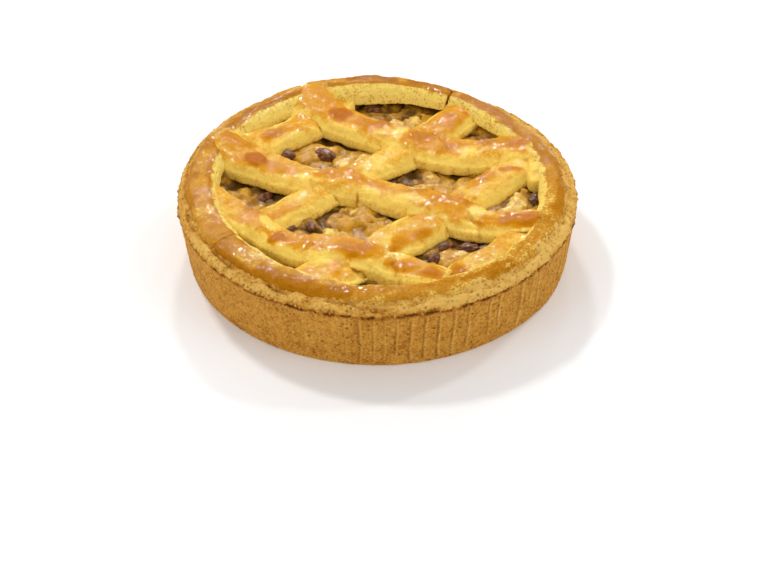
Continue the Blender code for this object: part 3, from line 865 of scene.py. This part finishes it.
def filling_skin():
    """The cooked filling: apple stewed to soft lumps, painted darker between them and in its low places as
    shade, and slices sunk in it.
    """
    x, y = disc_grid(FILLING_GRID)
    p = np.stack([x * filling_high[0], y * filling_high[0], 0 * x], axis=-1)
    z = np.full(x.shape, FILLING_LEVEL - 0.8) + 0.8 * mottle(p, 24, 70, 2)
    lot = 0.52 + 0.16 * mottle(p, 13, 72, 3)
    for size, seed, tall, deep in FILLING_LUMPS:
        bend_x, bend_y = mottle(p, size * 0.7, seed + 1, 2), mottle(p, size * 0.7, seed + 2, 2)
        bent = p + size * 0.22 * np.stack([bend_x, bend_y, 0 * x], -1)
        near, following, number, away = nearest_seeds(bent, size, seed)
        gap = 1 - eased(0.0, 0.24, following - near)
        lean = 31.0 * number
        slope = away[..., 0] * np.cos(lean) + away[..., 1] * np.sin(lean)
        z += tall * (number - 0.45 + 0.6 * slope) - deep * gap
        # Each lump gets its own tone, and the gaps between lumps get painted shade.
        lot += 0.18 * np.sin(57.0 * number) - 0.1 * gap
    near, following, number, _ = nearest_seeds(p, 7.5, 97)
    bit = (number > 0.72) * (1 - eased(0.16, 0.3, near * (1 + 0.5 * mottle(p, 3, 98, 2))))
    z += 1.1 * bit
    lot += 0.42 * bit
    rough = 0.35 * mottle(p, 3.8, 75, 3)
    bend = 1.3 * mottle(p, 6, 74, 2)
    tone = 0.12 * mottle(p, 4, 76, 2)
    z += rough
    for cx, cy, long, short, direction, tall, tint in APPLE_PIECES:
        turn = math.radians(direction)
        u = (p[..., 0] - cx) * math.cos(turn) + (p[..., 1] - cy) * math.sin(turn)
        v = (p[..., 1] - cy) * math.cos(turn) - (p[..., 0] - cx) * math.sin(turn)
        v = v - 0.03 * u * u + bend
        lump = (FILLING_LEVEL + 0.8 * tall + 0.22 * v + 1.6 * rough
                - 2.6 * (np.abs(u / long) ** 5 + np.abs(v / short) ** 4))
        lot = np.where(lump > z, tint + tone, lot)
        z = np.maximum(z, lump)
    # Each hollow dips the filling and gets painted shade, as under the strip above it.
    for hx, hy, reach in SHADED_HOLLOWS:
        dip = np.exp(-(np.hypot(p[..., 0] - hx, p[..., 1] - hy) / reach * (1 + 0.5 * bend / 2)) ** 2)
        z -= 3.0 * dip
        lot -= 0.5 * dip
    # Painted shade in the low places, deepest in the hollows and gaps.
    lot -= 0.34 * (1 - eased(-3.0, -0.8, z - FILLING_LEVEL))
    p[..., 2] = z
    last = FILLING_GRID - 1
    index = np.arange(FILLING_GRID ** 2).reshape(FILLING_GRID, FILLING_GRID)
    ring = [*index[:, 0], *index[last, 1:], *index[:last, last][::-1], *index[0, 1:last][::-1]]
    faces = [(index[i, j], index[i + 1, j], index[i + 1, j + 1], index[i, j + 1])
             for i in range(last) for j in range(last)]
    flat = p.reshape(-1, 3)
    foot = flat[ring].copy()
    foot[:, :2] *= 0.975
    foot[:, 2] = filling_low[2]
    start = len(flat)
    for i in range(len(ring)):
        j = (i + 1) % len(ring)
        faces.append((ring[j], ring[i], start + i, start + j))
    faces.append(tuple(start + i for i in reversed(range(len(ring)))))
    faces = [tuple(int(i) for i in face) for face in faces]
    mesh = mesh_of("filling_mush", np.concatenate([flat, foot]), faces)
    face_out(mesh)
    note(mesh, "lot", np.append(lot.ravel(), np.full(len(foot), 0.3)))
    return new_object("filling_mush", mesh)


def apple_material():
    """Cooked apple in its juice: from pale yellow flesh to brown, wet all over, and darkest where shade is
    painted.
    """
    made, shader, t = new_material("Stewed apple", {
        "Roughness": 0.45, "Specular IOR Level": 0.12, "Coat Weight": 0.6, "Coat Roughness": 0.06,
        "Subsurface Weight": 0.12, "Subsurface Radius": (1.0, 0.45, 0.12), "Subsurface Scale": 0.003})
    where = t.add("ShaderNodeTexCoord", output="Object")
    lot = t.add("ShaderNodeAttribute", output="Fac", attribute_name="lot")
    blotch, fine = t.noise(where, 5.0, 4.0, 0.6), t.noise(where, 1.5, 2.0, 0.6)
    share = t.math("MULTIPLY_ADD", t.math("SUBTRACT", blotch, 0.5), 0.9, lot)
    share = t.math("MULTIPLY_ADD", t.math("SUBTRACT", fine, 0.5), 0.7, share)
    # The darkest colour is the painted shade of the filling's gaps, hollows and low places.
    colour = t.mix(t.ramp(share, -0.05, 0.35), shade(0.17, 0.08, 0.012), shade(0.4, 0.19, 0.014))
    colour = t.mix(t.ramp(share, 0.4, 0.7), colour, shade(0.62, 0.31, 0.022))
    colour = t.mix(t.ramp(share, 0.8, 1.05), colour, shade(0.84, 0.62, 0.17))
    t.join((colour, shader["Base Color"]),
           (t.bump(0.8, 0.45, t.noise(where, 2.0, 2.0)), shader["Normal"]),
           (t.bump(1.0, 0.9, t.noise(where, 2.4, 2.0)), shader["Coat Normal"]))
    return made


def raisin_material():
    made, shader, t = new_material("Plumped raisin", {
        "Roughness": 0.4, "Specular IOR Level": 0.25, "Coat Weight": 0.35, "Coat Roughness": 0.1})
    where = t.add("ShaderNodeTexCoord", output="Object")
    share = t.ramp(t.noise(where, 2.5, 3.0), 0.35, 0.7)
    t.join((t.mix(share, shade(0.09, 0.028, 0.01), shade(0.26, 0.1, 0.04)), shader["Base Color"]))
    return made


def raisins(filling):
    """Plump raisins, folded lengthwise, sunk in the filling."""
    points, faces = [], []
    rings, turns = 26, 36
    lat = np.linspace(0, math.pi, rings + 1)[1:-1]
    a, b = np.meshgrid(lat, np.linspace(0, math.tau, turns, endpoint=False), indexing="ij")
    unit = np.stack([np.cos(a), np.sin(a) * np.cos(b), np.sin(a) * np.sin(b)], axis=-1).reshape(-1, 3)
    unit = np.concatenate([unit, [[1, 0, 0], [-1, 0, 0]]])
    surface = points_of(filling.data)
    for k, (x, y, length, direction, stand) in enumerate(RAISINS):
        start = k * len(unit)
        fold = np.abs(mottle(unit * [1.0, 2.4, 2.4] + 5 * k, 1.0, 80 + k, 2))
        wrinkle = 0.8 + 0.34 * fold ** 0.7 + 0.1 * mottle(unit + 3 * k, 1.2, 95, 1)
        body = unit * wrinkle[:, None] * [length, length * 0.62, length * 0.46]
        body[:, 2] += 0.06 * body[:, 0] * math.sin(3 * k)
        c, s = math.cos(math.radians(direction)), math.sin(math.radians(direction))
        near = np.hypot(surface[:, 0] - x, surface[:, 1] - y) < 3
        level = surface[near, 2].mean()
        points.append(np.stack([body[:, 0] * c - body[:, 1] * s + x, body[:, 0] * s + body[:, 1] * c + y,
                                body[:, 2] + level + stand], axis=-1))
        faces += [tuple(start + i for i in face) for face in lathe_faces(rings - 1, turns)]
    mesh = mesh_of("raisins", np.concatenate(points), faces)
    face_out(mesh)
    mesh.materials.append(raisin_material())
    return new_object("raisins", mesh)


def stand_flat(mesh):
    """Brings up what the rough skin pushed below the pie's base."""
    p = points_of(mesh)
    p[:, 2] = np.maximum(p[:, 2], 0)
    place_points(mesh, p)


def crumb_shape():
    """One rough crumb, a millimetre across."""
    shape = bmesh.new()
    bmesh.ops.create_icosphere(shape, subdivisions=1, radius=0.5 * MM)
    for corner in shape.verts:
        corner.co *= 1 + 0.35 * float(mottle(np.array([corner.co[:]]) / MM, 0.4, 90, 1)[0])
        corner.co.z *= 0.7
    mesh = bpy.data.meshes.new("crumb")
    shape.to_mesh(mesh)
    shape.free()
    return new_object("crumb", mesh)


# ---------------------------------------------------------------- the pie

def build_pie():
    dough = baked_dough_group()
    crust = dough_material("Dry baked crust", dough, CRUST_COLOURS, 0.45, 0.35, 1.0, 0.6)
    lattice = dough_material("Egg-washed lattice", dough, LATTICE_COLOURS, 0.25, 0.35, 0.0, 0.4)
    border = dough_material("Egg-washed border", dough, BORDER_COLOURS, 0.4, 0.4, 0.08, 0.45)
    skin, strew = skin_tree(), scatter_tree()

    shell = shell_skin()
    with_tree(shell, skin, {**SHELL_SKIN, "Material": crust})
    plain(shell, "shell_crust")
    stand_flat(shell.data)
    finish_piece(shell, "crust", "crust_shell")

    crumb = crumb_shape()
    crumbs = new_object("lip_crumbs", shell.data.copy())
    with_tree(crumbs, strew, {**CRUMBS, "Bit": crumb, "Material": crust})
    plain(crumbs, "lip_crumbs")
    bpy.data.objects.remove(crumb)
    for name, value in (("bake", 0.3), ("crumbly", 1.0), ("pit", 0.0), ("glaze", 0.0)):
        note(crumbs.data, name, np.full(len(crumbs.data.vertices), value))
    finish_piece(crumbs, "crust")

    for k, (name, node) in enumerate(STRIPS.items()):
        strip = dough_from(node, name, STRIP_VOXEL)
        work_strip(strip, 100 + 20 * k, OVER_BAKE if node.startswith("over") else UNDER_BAKE)
        settle = strip.modifiers.new("settle", "SMOOTH")
        settle.factor, settle.iterations = 0.5, 3
        with_tree(strip, skin, {**STRIP_SKIN, "Seed": 10.0 + k, "Material": lattice})
        plain(strip, name)
        finish_piece(strip, "lattice", node)
    for k, (name, node) in enumerate(ROLLS.items()):
        roll = dough_from(node, name, ROLL_VOXEL)
        work_roll(roll, 400 + 20 * k)
        with_tree(roll, skin, {**ROLL_SKIN, "Seed": 30.0 + k, "Material": border})
        plain(roll, name)
        finish_piece(roll, "border", node)

    filling = filling_skin()
    filling.data.materials.append(apple_material())
    finish_piece(filling, "filling", "apple_filling")
    finish_piece(raisins(filling), "filling")


# ---------------------------------------------------------------- floor, camera and light

# Lights: name, place, size, power, whether it lights and whether it shines. Sizes are metres here.
LIGHTS = [
    ("Key softbox", (-0.7, 0.9, 1.45), 0.2, 11.0, True, True),
    ("Back softbox", (-0.1, 1.5, 1.15), 0.17, 7.0, True, True),
    ("Right softbox", (0.9, 0.8, 1.2), 0.15, 4.5, True, True),
    ("Left shine", (-1.15, 0.85, 1.1), 0.16, 6.0, False, True),
    ("Back shine", (0.35, 1.45, 1.25), 0.15, 5.0, False, True),
    ("Left fill", (-1.6, -1.0, 0.8), 1.2, 10.0, True, False),
    ("Right fill", (1.6, -0.9, 0.9), 1.2, 11.0, True, False),
]


def pale_floor():
    bpy.ops.mesh.primitive_plane_add(size=8.0)
    floor = bpy.context.object
    floor.name = "floor"
    paint, _, _ = new_material("Pale floor", {"Base Color": shade(0.93, 0.93, 0.93), "Roughness": 0.6})
    floor.data.materials.append(paint)


def daylight():
    scene = bpy.context.scene
    scene.view_settings.view_transform = "Standard"
    world = bpy.data.worlds.new("Soft daylight")
    scene.world = world
    world.use_nodes = True
    sky = world.node_tree.nodes["Background"]
    sky.inputs["Color"].default_value = shade(1.0, 1.0, 1.0)
    sky.inputs["Strength"].default_value = 0.6
    world.cycles_visibility.glossy = False
    for name, place, size, power, lit, shine in LIGHTS:
        lamp = bpy.data.lights.new(name, "AREA")
        lamp.shape = "SQUARE"
        lamp.size = size
        lamp.energy = power
        box = bpy.data.objects.new(name, lamp)
        scene.collection.objects.link(box)
        box.visible_diffuse, box.visible_glossy = lit, shine
        box.location = place
        box.rotation_mode = "QUATERNION"
        box.rotation_quaternion = (Vector((0, 0, 0.03)) - box.location).to_track_quat("-Z", "Y")


def camera():
    """Looks down on the pie from the front, from about a metre away."""
    elevation, distance = math.radians(37.05), 0.98864
    aside, lower = 0.293, 1.697  # degrees that the view's middle lies right of and below the pie's base
    toward = Vector((0, -math.cos(elevation), math.sin(elevation)))
    upward = Vector((0, math.sin(elevation), math.cos(elevation)))
    place = toward * distance
    sideways = Vector((math.tan(math.radians(aside)) * distance, 0, 0))
    aim = sideways - upward * math.tan(math.radians(lower)) * distance
    lens = bpy.data.cameras.new("Camera")
    lens.sensor_width = 36.0
    lens.lens = 74.6
    eye = bpy.data.objects.new("Camera", lens)
    bpy.context.scene.collection.objects.link(eye)
    eye.location = place
    eye.rotation_mode = "QUATERNION"
    eye.rotation_quaternion = (aim - place).to_track_quat("-Z", "Y")
    bpy.context.scene.camera = eye


build_pie()
pale_floor()
daylight()
camera()
